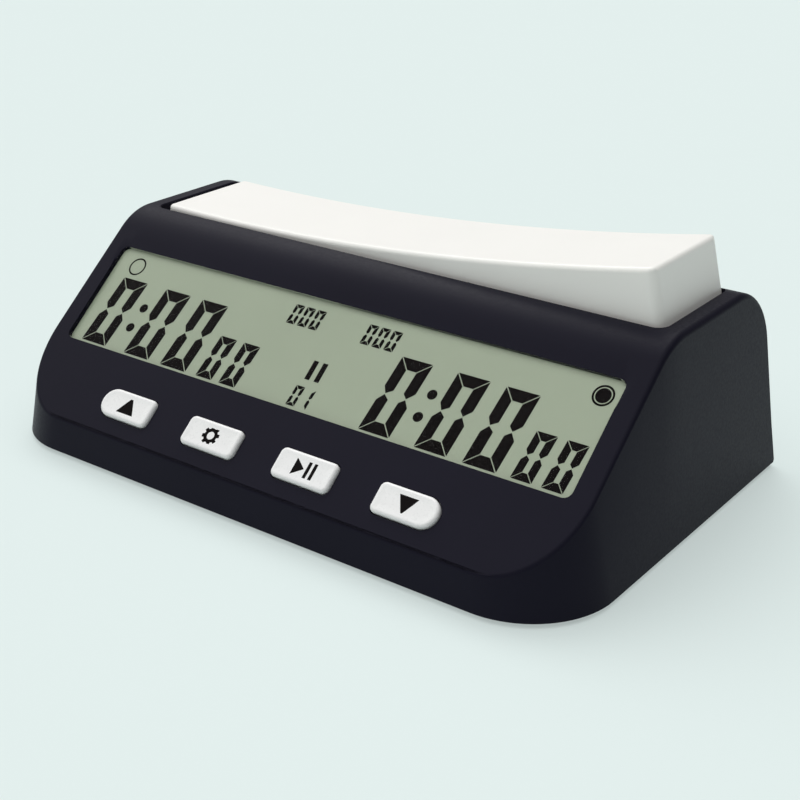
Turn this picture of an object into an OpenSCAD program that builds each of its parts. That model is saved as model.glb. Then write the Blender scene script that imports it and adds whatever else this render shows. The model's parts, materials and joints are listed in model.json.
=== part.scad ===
// Digital chess clock: sloped case, rocker bar on top, wide display and four keys.
// All sizes in mm. X runs along the width, +Y is the back, +Z is up.
// Inside each module y = 0 is the front bottom edge of the case and z = 0 its bottom rim.

/* [Case] */
// Overall width across the base
case_w = 155; // [125:1:190]
// Overall depth across the base
case_d = 93.5; // [90:0.5:114]
// Height of the level top above the bottom rim
case_h = 44.2; // [40:0.2:54]
// Height of the upright band under the sloped face
band_h = 7.9; // [6:0.1:10]
// Angle of the sloped face
slope = 40; // [35:1:45]
// How far each side wall leans in at full height
side_lean = 3.9; // [2:0.1:5]
// How far the back wall leans in at full height
back_lean = 7; // [4:0.5:9]
// Radius of the two front corners seen from above
corner_r = 19.5; // [14:0.5:24]
// Lean of the front band and the front corners, per mm of height
band_lean = 0.15; // [0.1:0.01:0.18]
// Radius where the slope turns into the top
top_blend = 14; // [8:0.5:15]
// Radius where the top turns into the back
back_blend = 14; // [8:0.5:15]
// Wall thickness
wall = 2.4; // [2:0.1:3]
// Thickness of the base cover
base_t = 2.6; // [2.4:0.1:3.2]
// Height of the rubber feet below the rim
foot_h = 1; // [0.6:0.1:2]

/* [Display] */
// Margin from the top edge of the side wall to the window
lcd_margin = 4.8; // [4:0.1:7]
// Window height along the slope
lcd_h = 26.7; // [20:0.1:27]
// Distance up the slope from the band to the window
lcd_low = 19.4; // [18:0.1:21]
// Depth of the lens below the sloped face
lens_sink = 0.3; // [0.3:0.1:0.8]
// Thickness of the lens
lens_t = 0.8; // [0.8:0.1:1.2]
// Width of the bevel above the window
bevel_w = 3; // [2:0.1:3.5]

/* [Keys] */
// Key width
key_w = 15; // [12:0.1:17]
// Key height along the slope
key_h = 6.9; // [6:0.1:8]
// Distance up the slope from the band to the key centres
key_t = 7.75; // [7:0.05:8.5]
// Height of a key above the face
key_up = 0.9; // [0.8:0.1:1.6]
// Press travel of a key
key_travel = 0.9; // [0.6:0.1:1]
// Gap between a key and its hole
key_gap = 0.25; // [0.2:0.05:0.4]

/* [Rocker] */
// Tilt of the rocker each side of level
tilt = 4.6; // [4:0.1:5.4]
// Rise of the rocker ends above the middle
sag = 3.5; // [2:0.1:4.5]
// Height of the rocker ends above the pivot
end_rise = 9.6; // [8:0.1:10]
// Depth of the pivot below the level top
pivot_drop = 3.7; // [3.5:0.1:4.5]
// Depth of the rocker skirt below the pivot
skirt = 6; // [5:0.1:7]
// Lean of the rocker ends, per mm of height
end_lean = 0.16; // [0.1:0.01:0.18]
// Skin thickness of the rocker
rocker_t = 2; // [1.6:0.1:2.4]
// Gap around the rocker in its opening
rocker_gap = 0.7; // [0.5:0.1:1]
// Radius of the pivot pin
pin_r = 1.5; // [1.2:0.1:2]
// Running clearance of the rocker on the pin
pin_fit = 0.05; // [0.03:0.01:0.08]

/* [Battery] */
// Radius of the AA cell
cell_r = 7.1; // [6.9:0.05:7.25]
// Length of the AA cell without its button
cell_l = 49.2; // [48.5:0.1:49.5]
// Room for the spring at the flat end
spring_l = 5.2; // [4:0.1:7]

/* [View] */
// Sub-part to draw

/* [Hidden] */
$fn = 96;
// small margin by which cutting shapes pass a surface
over = 0.2;
// clearance between parts that are fixed together
fixed = 0.05;
// clearance between a screw and its hole
screw_fit = 0.02;
// gap left between a moving part and what it presses
touch = 0.3;

band_in = band_lean * band_h;
side_slope = side_lean / case_h;
top_w = case_w - 2 * side_lean;
// lean of the lower side wall, measured below the sloped face
flare = 13.4;
corner_x = case_w / 2 - corner_r;
slope_l = (case_h - band_h) / sin(slope);
top_y = band_in + slope_l * cos(slope);
open_y0 = top_y + 4;
open_y1 = case_d - 15.1;
open_x = top_w / 2 - 4.3;
open_r = 1;

lcd_w = top_w - 2 * lcd_margin;
lcd_t = lcd_low + lcd_h / 2;
glass_n = wall + fixed;
glass_t = 1.4;
frame_t = 1.3;
pcb_n = 7.6;
pcb_t = 1.6;
pcb_low = 4;
pcb_high = slope_l - 2.9;
pcb_x = lcd_w / 2 + 0.4;
post_r = 1.6;
post_x = case_w * 0.4;
post_low = key_t + key_h / 2 + 2.7;
post_high = pcb_high - 1.8;
screw_s = 0.9;

key_pitch = case_w / 6;
key_flange = 0.9;
pad_w = 8;
pad_h = 4;
pad_n = pcb_n - key_travel - 0.1;
mat_n = pcb_n - fixed;
mat_t = 0.7;
mat_w = 3 * key_pitch + key_w + 4;

rocker_y0 = open_y0 + rocker_gap;
rocker_y1 = open_y1 - rocker_gap;
rocker_y = (rocker_y0 + rocker_y1) / 2;
rocker_d = rocker_y1 - rocker_y0;
rocker_l = open_x - 2.7;
face_lean = 0.06;
pivot_z = case_h - pivot_drop;
saddle_r = (rocker_l * rocker_l + sag * sag) / (2 * sag);
ear_t = 2.5;
ear_r = 3;
ear_y = rocker_d / 2 - rocker_t - 4;
lug_y = ear_y - ear_t - 0.6;
bush_t = 0.5;
// height of the bracket plate under the lowest corner of the skirt
plate_t = 2;
skirt_x = rocker_l + end_lean * (end_rise + skirt);
skirt_low = pivot_z - skirt * cos(tilt) - skirt_x * sin(tilt);
plate_z = skirt_low - 2.5 - plate_t;
plate_x = skirt_x - 2;
stop_x = skirt_x - 3;

act_x = 12;
act_r = 1.5;
act_z = -5.5;
board_t = 1.6;
board_z = plate_z + plate_t + fixed;
switch_z = board_z + board_t + fixed;
switch_h = 4.3;
plunger_r = 1.7;
plunger_l = 3.8;

cell_z = base_t + cell_r;
bay_l = cell_l + 1.3 + spring_l + 0.6;
bay_w = 2 * cell_r + 0.8;
bay_t = 1.6;
bay_top = cell_z + cell_r + 0.5;
bay_y = rocker_y;
door_x = bay_l / 2 + 1;
door_y = 9.8;
door_z0 = 0.2;
door_z1 = 1.6;
door_gap = 0.3;
// the door turns on stub pins along the middle of its rounded front edge
hinge_r = (door_z1 - door_z0) / 2;
hinge_y = bay_y - door_y + hinge_r;
hinge_z = door_z0 + hinge_r;
stub_r = 0.55;
stub_l = 2;
stub_fit = 0.05;

boss_x = case_w / 2 - 8;
boss_y0 = 24;
boss_y1 = case_d - 10;
boss_r = 3.4;
boss_low = base_t + 0.2;
boss_h0 = 11.3;
boss_h1 = 18;
case_screw_r = 1.5;
head_r = 2.9;
head_t = 1.4;
leg_x = bay_l / 2 + 18;
leg_y = rocker_d / 2 - 4.5;
leg_r = 3.2;
foot_x = case_w / 2 - 15.5;
foot_y0 = 12.5;
foot_y1 = case_d - 20;
foot_r = 5;
foot_in = 0.8;
buzz_x = case_w * 0.29;
buzz_y = 38;
buzz_r = 11;
buzz_h = 5.5;
power_x = -case_w * 0.29;
power_y = 38;
power_travel = 2.5;

shell = [0.13, 0.13, 0.18];
white = [0.93, 0.92, 0.9];
green = [0.1, 0.35, 0.2];
steel = [0.75, 0.76, 0.78];
rubber = [0.15, 0.15, 0.15];
glass = [0.63, 0.67, 0.58];

// ---- helpers ----

function dir(a) = [cos(a), sin(a)];
function inward(a) = [sin(a), -cos(a)];
function cross2(p, q) = p[0] * q[1] - p[1] * q[0];
function meet(p, a, q, b) = p + dir(a) * cross2(q - p, dir(b)) / cross2(dir(a), dir(b));
function key_x(i) = (i - 1.5) * key_pitch;

// puts a module drawn from the front bottom edge into the shared frame
module place() {
  translate([0, -case_d / 2, foot_h]) children();
}

// x across, y up the slope, z out of the sloped face
module on_slope(x, t) {
  translate([x, band_in + t * cos(slope), band_h + t * sin(slope)])
    rotate([slope, 0, 0]) children();
}

// centre of the case's rocker pivot, tilted to the stored position
module at_pivot(a) {
  translate([0, rocker_y, pivot_z]) rotate([0, -a, 0]) children();
}

module both_sides() {
  children();
  mirror([1, 0, 0]) children();
}

module rounded_plate(w, h, r) {
  square([w - 2 * r, h], center = true);
  square([w, h - 2 * r], center = true);
  for (x = [-1, 1], y = [-1, 1]) {
    translate([x * (w / 2 - r), y * (h / 2 - r)]) circle(r = r);
  }
}

// key outline; rl and rr are the corner radii at its left and right ends
module key_outline(w, h, rl, rr) {
  translate([-w / 2 + rl, -h / 2]) square([w - rl - rr, h]);
  key_end(-1, w, h, rl);
  key_end(1, w, h, rr);
}

module key_end(s, w, h, r) {
  x = s * (w / 2 - r);
  if (h / 2 > r) {
    translate([min(x, x + s * r), -h / 2 + r]) square([r, h - 2 * r]);
    translate([x, h / 2 - r]) circle(r = r);
    translate([x, r - h / 2]) circle(r = r);
  } else {
    translate([x, 0]) circle(r = h / 2);
  }
}

// outline of the case seen from the side, moved in by t and cut off at z0
module side_profile(t, z0) {
  fa = atan2(band_h, band_in);
  ba = -atan2(case_h, back_lean);
  fp = inward(fa) * t;
  ip = [band_in, band_h] + inward(slope) * t;
  tp = [0, case_h - t];
  bp = [case_d, 0] + inward(ba) * t;
  c2 = meet(ip + inward(slope) * (top_blend - t), slope, [0, case_h - top_blend], 0);
  c3 = meet([0, case_h - back_blend], 0, bp + inward(ba) * (back_blend - t), ba);
  r2 = top_blend - t;
  r3 = back_blend - t;
  polygon([
    meet(fp, fa, [0, z0], 0),
    meet(fp, fa, ip, slope),
    c2 - inward(slope) * r2,
    c2 + [0, r2],
    c3 + [0, r3],
    c3 - inward(ba) * r3,
    meet([0, z0], 0, bp, ba)
  ]);
  translate(c2) circle(r = r2);
  translate(c3) circle(r = r3);
}

// outline of the case seen from the front, moved in by t
module front_profile(t, z0) {
  e = t * sqrt(1 + side_slope * side_slope);
  x0 = case_w / 2 - side_slope * z0 - e;
  x1 = case_w / 2 - side_slope * (case_h + 1) - e;
  polygon([[-x0, z0], [x0, z0], [x1, case_h + 1], [-x1, case_h + 1]]);
}

// space outside the lower part of the right side wall
module flare_trim(t) {
  translate([top_w / 2 - t / cos(flare), band_in, band_h])
    rotate([slope, 0, 0]) rotate([0, -flare, 0])
    translate([0, -40, -60]) cube([30, 160, 100]);
}

// space outside the right front corner
module corner_trim(t, z0) {
  r = corner_r - t * sqrt(1 + band_lean * band_lean);
  top = case_h - 4;
  difference() {
    translate([corner_x, -5, z0 - over]) cube([corner_r + 10, corner_r + 5, top]);
    translate([corner_x, corner_r, z0 - 1])
      cylinder(h = top + 2, r1 = r - band_lean * (z0 - 1), r2 = r - band_lean * (z0 + top + 1));
  }
}

// case solid moved in by t, starting at height z0
module case_solid(t, z0) {
  difference() {
    intersection() {
      translate([-case_w, 0, 0]) rotate([90, 0, 90])
        linear_extrude(height = 2 * case_w) side_profile(t, z0);
      translate([0, case_d + 10, 0]) rotate([90, 0, 0])
        linear_extrude(height = case_d + 20) front_profile(t, z0);
    }
    both_sides() flare_trim(t);
    both_sides() corner_trim(t, z0);
  }
}

module screw_boss(y, h) {
  translate([boss_x, y, boss_low]) cylinder(h = h - boss_low, r = boss_r);
  translate([boss_x, y - 1.5, boss_low]) cube([5.2, 3, h - boss_low]);
}

module case_holes(r, z0, h) {
  for (y = [boss_y0, boss_y1], x = [-boss_x, boss_x]) {
    translate([x, y, z0]) cylinder(h = h, r = r);
  }
}

// ---- case ----

module upper_case() {
  place() color(shell) difference() {
    union() {
      difference() {
        case_solid(0, 0);
        case_solid(wall, -1);
      }
      both_sides() {
        screw_boss(boss_y0, boss_h0);
        screw_boss(boss_y1, boss_h1);
      }
      for (x = [-post_x, 0, post_x], t = [post_low, post_high]) {
        on_slope(x, t) translate([0, 0, -pcb_n + fixed])
          cylinder(h = pcb_n - wall + 0.6, r = post_r);
      }
    }
    // display window and the bevel above it
    on_slope(0, lcd_t) translate([0, 0, -wall - 3])
      linear_extrude(height = wall + 6) rounded_plate(lcd_w, lcd_h, 1.8);
    on_slope(-lcd_w / 2, lcd_low + lcd_h - over) rotate([90, 0, 90])
      linear_extrude(height = lcd_w)
      polygon([[0, -lens_sink], [over, -lens_sink], [bevel_w + over, 0], [bevel_w + over, 2], [0, 2]]);
    // key holes
    for (i = [0:3]) {
      on_slope(key_x(i), key_t) translate([0, 0, -wall - 3])
        linear_extrude(height = wall + 6) key_hole(i);
    }
    // opening for the rocker
    translate([0, (open_y0 + open_y1) / 2, case_h - wall - 4])
      linear_extrude(height = wall + 8)
      rounded_plate(2 * open_x, open_y1 - open_y0, open_r);
    case_holes(case_screw_r + screw_fit, boss_low - 1, 7.5);
    for (x = [-post_x, 0, post_x], t = [post_low, post_high]) {
      on_slope(x, t) translate([0, 0, -pcb_n - 1]) cylinder(h = 4.4, r = screw_s + screw_fit);
    }
  }
}

module base_cover() {
  place() color(shell * 0.9) difference() {
    union() {
      intersection() {
        case_solid(wall + door_gap, -1);
        translate([-case_w, -10, 0]) cube([2 * case_w, case_d + 20, base_t]);
      }
      translate([-bay_l / 2 - bay_t, bay_y - bay_w / 2 - bay_t, base_t - 1])
        cube([bay_l + 2 * bay_t, bay_w + 2 * bay_t, bay_top + bay_t - base_t + 1]);
      for (x = [-leg_x, leg_x], y = [-leg_y, leg_y]) {
        translate([x, rocker_y + y, base_t - 1]) cylinder(h = plate_z - fixed - base_t + 1, r = leg_r);
      }
    }
    // battery bay, its mouth and the seat of its door
    translate([-bay_l / 2, bay_y - bay_w / 2, -1]) cube([bay_l, bay_w, bay_top + 1]);
    translate([-door_x - door_gap, bay_y - door_y - door_gap, -1])
      cube([2 * (door_x + door_gap), 2 * (door_y + door_gap), door_z1 + 0.1 + 1]);
    translate([-door_x - stub_l - 0.3, hinge_y, hinge_z]) rotate([0, 90, 0])
      cylinder(h = 2 * (door_x + stub_l + 0.3), r = stub_r + stub_fit);
    translate([0, bay_y + door_y + 1, -2]) cylinder(h = 2.8, r = 5);
    case_holes(case_screw_r + 0.2, -1, 5);
    case_holes(head_r + 0.2, -1, 1 + head_t);
    for (x = [-leg_x, leg_x], y = [-leg_y, leg_y]) {
      translate([x, rocker_y + y, plate_z - 8]) cylinder(h = 9, r = 1 + screw_fit);
    }
    for (x = [-foot_x, foot_x], y = [foot_y0, foot_y1]) {
      translate([x, y, -1]) cylinder(h = 1 + foot_in, r = foot_r + fixed);
    }
    // sound holes
    translate([buzz_x, buzz_y, -1]) cylinder(h = 6, r = 1);
    for (a = [0:60:300]) {
      translate([buzz_x + 4 * cos(a), buzz_y + 4 * sin(a), -1]) cylinder(h = 6, r = 1);
    }
    // slot and finger recess of the power switch
    translate([power_x - 3.6, power_y - 2, -1]) cube([7.2, 4, 6]);
    translate([power_x - 6.5, power_y - 3.5, -1]) cube([13, 7, 2.2]);
  }
}

module battery_door() {
  place() color(shell) difference() {
    union() {
      translate([-door_x, hinge_y, door_z0])
        cube([2 * door_x, 2 * door_y - hinge_r, door_z1 - door_z0]);
      translate([-door_x, hinge_y, hinge_z]) rotate([0, 90, 0]) cylinder(h = 2 * door_x, r = hinge_r);
      translate([-door_x - stub_l, hinge_y, hinge_z]) rotate([0, 90, 0])
        cylinder(h = 2 * (door_x + stub_l), r = stub_r);
    }
    for (y = [3:1.6:7.8]) {
      translate([-6, bay_y + y, door_z0 - 1]) cube([12, 0.7, 1.4]);
    }
  }
}

module case_screws() {
  place() color(steel) for (y = [boss_y0, boss_y1], x = [-boss_x, boss_x]) {
    translate([x, y, 0]) screw(head_r, head_t - fixed, case_screw_r, 7.8);
  }
}

// pan-head screw, head at z = 0, shank pointing up
module screw(hr, ht, sr, l) {
  difference() {
    union() {
      cylinder(h = ht, r = hr);
      cylinder(h = l, r = sr);
    }
    translate([-hr * 0.62, -hr * 0.13, -over]) cube([hr * 1.24, hr * 0.26, ht * 0.5 + over]);
    translate([-hr * 0.13, -hr * 0.62, -over]) cube([hr * 0.26, hr * 1.24, ht * 0.5 + over]);
  }
}

module rubber_feet() {
  place() color(rubber) for (x = [-foot_x, foot_x], y = [foot_y0, foot_y1]) {
    translate([x, y, -foot_h]) cylinder(h = foot_h + foot_in - fixed, r = foot_r);
  }
}

// ---- rocker ----

// rocker solid moved in by t, drawn level about its pivot
module rocker_solid(t, z0) {
  u = end_lean;
  x0 = rocker_l + u * (end_rise - z0) - t;
  x1 = rocker_l - u * 2 - t;
  y0 = rocker_d / 2 - t;
  y1 = y0 - face_lean * (end_rise + 2 - z0);
  difference() {
    intersection() {
      translate([0, rocker_d, 0]) rotate([90, 0, 0]) linear_extrude(height = 2 * rocker_d)
        polygon([[-x0, z0], [x0, z0], [x1, end_rise + 2], [-x1, end_rise + 2]]);
      translate([-case_w, 0, 0]) rotate([90, 0, 90]) linear_extrude(height = 2 * case_w)
        polygon([[-y0, z0], [y0, z0], [y0, end_rise + 2], [-y1, end_rise + 2]]);
    }
    translate([0, 0, end_rise - sag + saddle_r - t]) rotate([90, 0, 0])
      cylinder(h = 3 * rocker_d, r = saddle_r, center = true, $fn = 720);
  }
}

module rocker() {
  place() at_pivot(tilt) color(white) difference() {
    union() {
      difference() {
        rocker_solid(0, -skirt);
        rocker_solid(rocker_t, -skirt - 1);
      }
      // lugs that turn on the pin
      intersection() {
        rocker_solid(rocker_t / 2, -skirt);
        union() {
          for (y = [-lug_y, lug_y - ear_t]) {
            translate([-4, y, 0]) cube([8, ear_t, 12]);
            translate([0, y + ear_t, 0]) rotate([90, 0, 0]) cylinder(h = ear_t, r = 4);
          }
        }
      }
      // fingers that work the two switches
      both_sides() {
        intersection() {
          rocker_solid(rocker_t / 2, -skirt - 4);
          translate([act_x - 1, -3, act_z]) cube([2, 6, 20]);
        }
        translate([act_x, 3, act_z]) rotate([90, 0, 0]) cylinder(h = 6, r = act_r);
      }
      // stiffening ribs
      intersection() {
        rocker_solid(rocker_t / 2, -1);
        union() {
          for (x = [-rocker_l * 0.7, -rocker_l * 0.4, rocker_l * 0.4, rocker_l * 0.7]) {
            translate([x - 0.7, -rocker_d, 0]) cube([1.4, 2 * rocker_d, 20]);
          }
        }
      }
    }
    translate([0, rocker_d, 0]) rotate([90, 0, 0]) cylinder(h = 2 * rocker_d, r = pin_r + pin_fit, $fn = 64);
  }
}

module rocker_pin() {
  place() color(steel) translate([0, rocker_y + ear_y, pivot_z]) rotate([90, 0, 0])
    cylinder(h = 2 * ear_y, r = pin_r, $fn = 64);
}

module pivot_bushings() {
  place() color([0.2, 0.2, 0.22]) for (y = [-lug_y - bush_t - 0.04, lug_y + 0.04]) {
    translate([0, rocker_y + y + bush_t, pivot_z]) rotate([90, 0, 0]) difference() {
      cylinder(h = bush_t, r = 3);
      translate([0, 0, -1]) cylinder(h = 3, r = pin_r + screw_fit, $fn = 64);
    }
  }
}

module rocker_bracket() {
  place() color([0.3, 0.31, 0.34]) difference() {
    union() {
      translate([-plate_x, rocker_y0 + 1, plate_z]) cube([2 * plate_x, rocker_d - 2, plate_t]);
      for (y = [-ear_y, ear_y - ear_t]) {
        translate([-ear_r, rocker_y + y, plate_z + 1])
          cube([2 * ear_r, ear_t, pivot_z - plate_z - 1]);
        translate([0, rocker_y + y + ear_t, pivot_z]) rotate([90, 0, 0])
          cylinder(h = ear_t, r = ear_r);
        translate([-9, rocker_y + y, plate_z + 1]) cube([18, ear_t, 5]);
      }
    }
    translate([0, rocker_y + rocker_d, pivot_z]) rotate([90, 0, 0])
      cylinder(h = 2 * rocker_d, r = pin_r + screw_fit, $fn = 64);
    for (x = [-leg_x, leg_x], y = [-leg_y, leg_y]) {
      translate([x, rocker_y + y, plate_z - 1]) cylinder(h = plate_t + 2, r = 1.2);
    }
    for (x = [-17, 17]) {
      translate([x, rocker_y, plate_z - 1]) cylinder(h = plate_t + 2, r = 0.8 + screw_fit);
    }
    both_sides() translate([leg_x - 14, rocker_y - 5, plate_z - 1]) cube([9, 10, plate_t + 2]);
  }
}

module bracket_screws() {
  place() color(steel) for (x = [-leg_x, leg_x], y = [-leg_y, leg_y]) {
    translate([x, rocker_y + y, plate_z + plate_t + fixed + 1.2]) mirror([0, 0, 1])
      screw(2, 1.2, 1, 8);
  }
}

module rocker_stops() {
  place() color(rubber) for (x = [-stop_x, stop_x]) {
    translate([x - 1.5, rocker_y - 9, plate_z + plate_t + fixed])
      cube([3, 18, skirt_low - touch - plate_z - plate_t - fixed]);
  }
}

module switch_board() {
  place() color(green) difference() {
    translate([-20, rocker_y - lug_y + 1, board_z]) cube([40, 2 * lug_y - 2, board_t]);
    for (x = [-17, 17]) {
      translate([x, rocker_y, board_z - 1]) cylinder(h = board_t + 2, r = 1);
    }
  }
}

module board_screws() {
  place() color(steel) for (x = [-17, 17]) {
    translate([x, rocker_y, switch_z + 1]) mirror([0, 0, 1]) screw(1.7, 1, 0.8, 4);
  }
}

module tact_switches() {
  place() color([0.12, 0.12, 0.13]) for (x = [-act_x, act_x]) {
    difference() {
      translate([x - 3, rocker_y - 3, switch_z]) cube([6, 6, switch_h]);
      translate([x, rocker_y, switch_z + 0.15]) cylinder(h = switch_h, r = plunger_r + 0.1);
    }
  }
}

// top of a switch plunger under the finger at x = s * act_x
function plunger_top(s) = pivot_z + act_z * cos(tilt) + s * act_x * sin(tilt) - act_r - touch;

module plunger(s) {
  place() color([0.55, 0.15, 0.12])
    translate([s * act_x, rocker_y, plunger_top(s) - plunger_l])
    cylinder(h = plunger_l, r = plunger_r);
}

module switch_plunger_left() {
  plunger(-1);
}

module switch_plunger_right() {
  plunger(1);
}

// ---- display and main board ----

module main_pcb() {
  place() color(green) difference() {
    on_slope(0, 0) translate([-pcb_x, pcb_low, -pcb_n - pcb_t])
      cube([2 * pcb_x, pcb_high - pcb_low, pcb_t]);
    for (x = [-post_x, 0, post_x], t = [post_low, post_high]) {
      on_slope(x, t) translate([0, 0, -pcb_n - pcb_t - 1]) cylinder(h = pcb_t + 2, r = 1.05);
    }
  }
}

module pcb_screws() {
  place() color(steel) for (x = [-post_x, 0, post_x], t = [post_low, post_high]) {
    on_slope(x, t) translate([0, 0, -pcb_n - pcb_t - 1.1 - fixed]) screw(1.7, 1.1, screw_s, 5.6);
  }
}

module mcu_blob() {
  place() color([0.05, 0.05, 0.06]) on_slope(-10, 30)
    translate([0, 0, -pcb_n - pcb_t - fixed]) intersection() {
      translate([0, 0, 14.6]) sphere(r = 16);
      translate([-12, -12, -4]) cube([24, 24, 4]);
    }
}

module crystal() {
  place() color(steel) on_slope(14, 30) translate([-4, 0, -pcb_n - pcb_t - 1.5 - fixed])
    rotate([0, 90, 0]) cylinder(h = 8, r = 1.5);
}

module capacitors() {
  place() color([0.2, 0.22, 0.45]) for (x = [26, 34]) {
    on_slope(x, 24) translate([0, 0, -pcb_n - pcb_t - 7 - fixed]) cylinder(h = 7, r = 2.5);
  }
}

// outline of the plates that lie inside the window
module in_window() {
  rounded_plate(lcd_w - 4 * fixed, lcd_h - 4 * fixed, 1.7);
}

module lcd_lens() {
  place() color([0.8, 0.85, 0.85, 0.35]) on_slope(0, lcd_t)
    translate([0, 0, -lens_sink - lens_t]) linear_extrude(height = lens_t) in_window();
}

// front glass in the window, wide glass behind the wall, and a rear glass that leaves
// the contact ledge free along its lower edge
module lcd_panel() {
  place() color(glass) on_slope(0, lcd_t) union() {
    translate([0, 0, -glass_n - glass_t / 2])
      linear_extrude(height = glass_n + glass_t / 2 - lens_sink - lens_t - fixed) in_window();
    translate([0, 0, -glass_n - glass_t / 2])
      cube([lcd_w + 1.4, lcd_h + 4.2, glass_t], center = true);
    translate([0, 1.2, -glass_n - glass_t * 1.4])
      cube([lcd_w + 1.4, lcd_h + 1.8, glass_t * 1.2], center = true);
  }
}

module lcd_frame() {
  place() color([0.85, 0.85, 0.83]) on_slope(0, lcd_t) difference() {
    h = pcb_n - fixed - glass_n;
    translate([0, 0, -glass_n - h / 2])
      cube([lcd_w + 1.6 + 2 * frame_t, lcd_h + 4.6 + 2 * frame_t, h], center = true);
    translate([0, 0, -glass_n - h / 2]) cube([lcd_w + 1.6, lcd_h + 4.6, h + 2], center = true);
  }
}

module zebra_strip() {
  place() color([0.75, 0.45, 0.5]) on_slope(0, lcd_low - 1)
    translate([0, 0, -(pcb_n + glass_n + glass_t) / 2])
    cube([lcd_w * 0.92, 1.7, pcb_n - glass_n - glass_t - 2 * fixed], center = true);
}

// ---- keys ----

function key_rl(i) = i == 0 ? key_h / 2 : 1.4;
function key_rr(i) = i == 3 ? key_h / 2 : 1.4;

module key_hole(i) {
  g = key_gap;
  key_outline(key_w + 2 * g, key_h + 2 * g, key_rl(i) + g, key_rr(i) + g);
}

module key_cap(i) {
  place() color(white) on_slope(key_x(i), key_t) {
    translate([0, 0, -wall - 0.1]) linear_extrude(height = wall + 0.1 + key_up)
      key_outline(key_w, key_h, key_rl(i), key_rr(i));
    translate([-key_w / 2 - key_flange, -key_h / 2 - key_flange, -wall - 1])
      cube([key_w + 2 * key_flange, key_h + 2 * key_flange, 0.9]);
  }
}

module key_pad(i) {
  place() color(rubber * 2) on_slope(key_x(i), key_t)
    translate([-pad_w / 2, -pad_h / 2, -pad_n])
    cube([pad_w, pad_h, pad_n - wall - 1 - fixed]);
}

module button_up() {
  key_cap(0);
}

module button_settings() {
  key_cap(1);
}

module button_play_pause() {
  key_cap(2);
}

module button_down() {
  key_cap(3);
}

module pad_up() {
  key_pad(0);
}

module pad_settings() {
  key_pad(1);
}

module pad_play_pause() {
  key_pad(2);
}

module pad_down() {
  key_pad(3);
}

module button_mat() {
  place() color([0.6, 0.6, 0.58]) difference() {
    union() {
      on_slope(0, key_t) translate([-mat_w / 2, -3.5, -mat_n]) cube([mat_w, 8, mat_t]);
      for (i = [0:3]) {
        on_slope(key_x(i), key_t) translate([-pad_w / 2 - 1.3, -pad_h / 2 - 1.3, -mat_n])
          cube([pad_w + 2.6, pad_h + 2.6, 2.6]);
      }
    }
    for (i = [0:3]) {
      on_slope(key_x(i), key_t) translate([-pad_w / 2 - touch, -pad_h / 2 - touch, -mat_n - 1])
        cube([pad_w + 2 * touch, pad_h + 2 * touch, 6]);
    }
  }
}

// ---- battery, sound and power ----

module battery_aa() {
  place() color([0.2, 0.35, 0.6]) translate([bay_l / 2 - 0.6 - 1.3 - cell_l, bay_y, cell_z])
    rotate([0, 90, 0]) union() {
      cylinder(h = cell_l, r = cell_r);
      cylinder(h = cell_l + 1.3, r = 2.75);
    }
}

module battery_contact_positive() {
  place() color(steel) translate([bay_l / 2 - 0.5, bay_y - 5, base_t + 1])
    cube([0.45, 10, 11]);
}

// spring drawn as a plate and four rings joined by short links
module battery_spring() {
  step = (spring_l - 1.1) / 4;
  place() color(steel) translate([-bay_l / 2 + fixed, bay_y, cell_z]) {
    translate([0, -5, -5]) cube([0.4, 10, 10]);
    for (i = [0:3]) {
      translate([0.7 + i * step, 0, 0]) rotate([0, 90, 0])
        rotate_extrude() translate([5 - 0.6 * i, 0]) circle(r = 0.4, $fn = 24);
      translate([i == 0 ? 0 : 0.7 + (i - 1) * step, 0, 4.7 - 0.6 * max(i - 0.5, 0)])
        rotate([0, 90, 0]) cylinder(h = i == 0 ? 0.7 : step, r = 0.45, $fn = 24);
    }
  }
}

module piezo_buzzer() {
  place() color([0.1, 0.1, 0.1]) translate([buzz_x, buzz_y, base_t + fixed]) difference() {
    cylinder(h = buzz_h, r = buzz_r);
    translate([0, 0, 1]) cylinder(h = buzz_h - 2, r = buzz_r - 1);
    translate([0, 0, -1]) cylinder(h = 3, r = 2);
  }
}

module power_switch_body() {
  place() color(steel) difference() {
    translate([power_x - 6, power_y - 3, base_t + fixed]) cube([12, 6, 4.5]);
    translate([power_x - 3.6, power_y - 1.8, base_t - 1]) cube([7.2, 3.6, 4]);
  }
}

module power_switch_knob() {
  place() color(white)
    translate([power_x - power_travel / 2 - 1.8, power_y - 1.6, 0.4])
    cube([3.6, 3.2, base_t + 2]);
}

// round lead through a list of points
module lead(points, r) {
  for (i = [0:len(points) - 2]) {
    v = points[i + 1] - points[i];
    l = norm(v);
    translate(points[i]) rotate([0, acos(v[2] / l), atan2(v[1], v[0])]) cylinder(h = l, r = r, $fn = 24);
  }
  for (p = points) {
    translate(p) sphere(r = r * 1.1, $fn = 24);
  }
}

module lead_red() {
  y = bay_y - bay_w / 2 - bay_t - 1;
  x = bay_l / 2 + bay_t + 1;
  place() color([0.8, 0.1, 0.1])
    lead([[x, bay_y, cell_z], [x + 1, y - 4, cell_z + 1], [18, 40, 12], [18, 36, 20]], 0.6);
}

module lead_black() {
  y = bay_y - bay_w / 2 - bay_t - 1;
  x = -bay_l / 2 - bay_t - 1;
  place() color([0.05, 0.05, 0.05])
    lead([[x, bay_y, cell_z], [x - 1, y - 4, cell_z + 1], [-18, 40, 12], [-18, 36, 20]], 0.6);
}

module lead_buzzer() {
  z = base_t + buzz_h + 1;
  place() color([0.8, 0.75, 0.2])
    lead([[buzz_x - 6, buzz_y, z], [30, 36, 13], [26, 34, 18.5]], 0.5);
}

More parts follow.
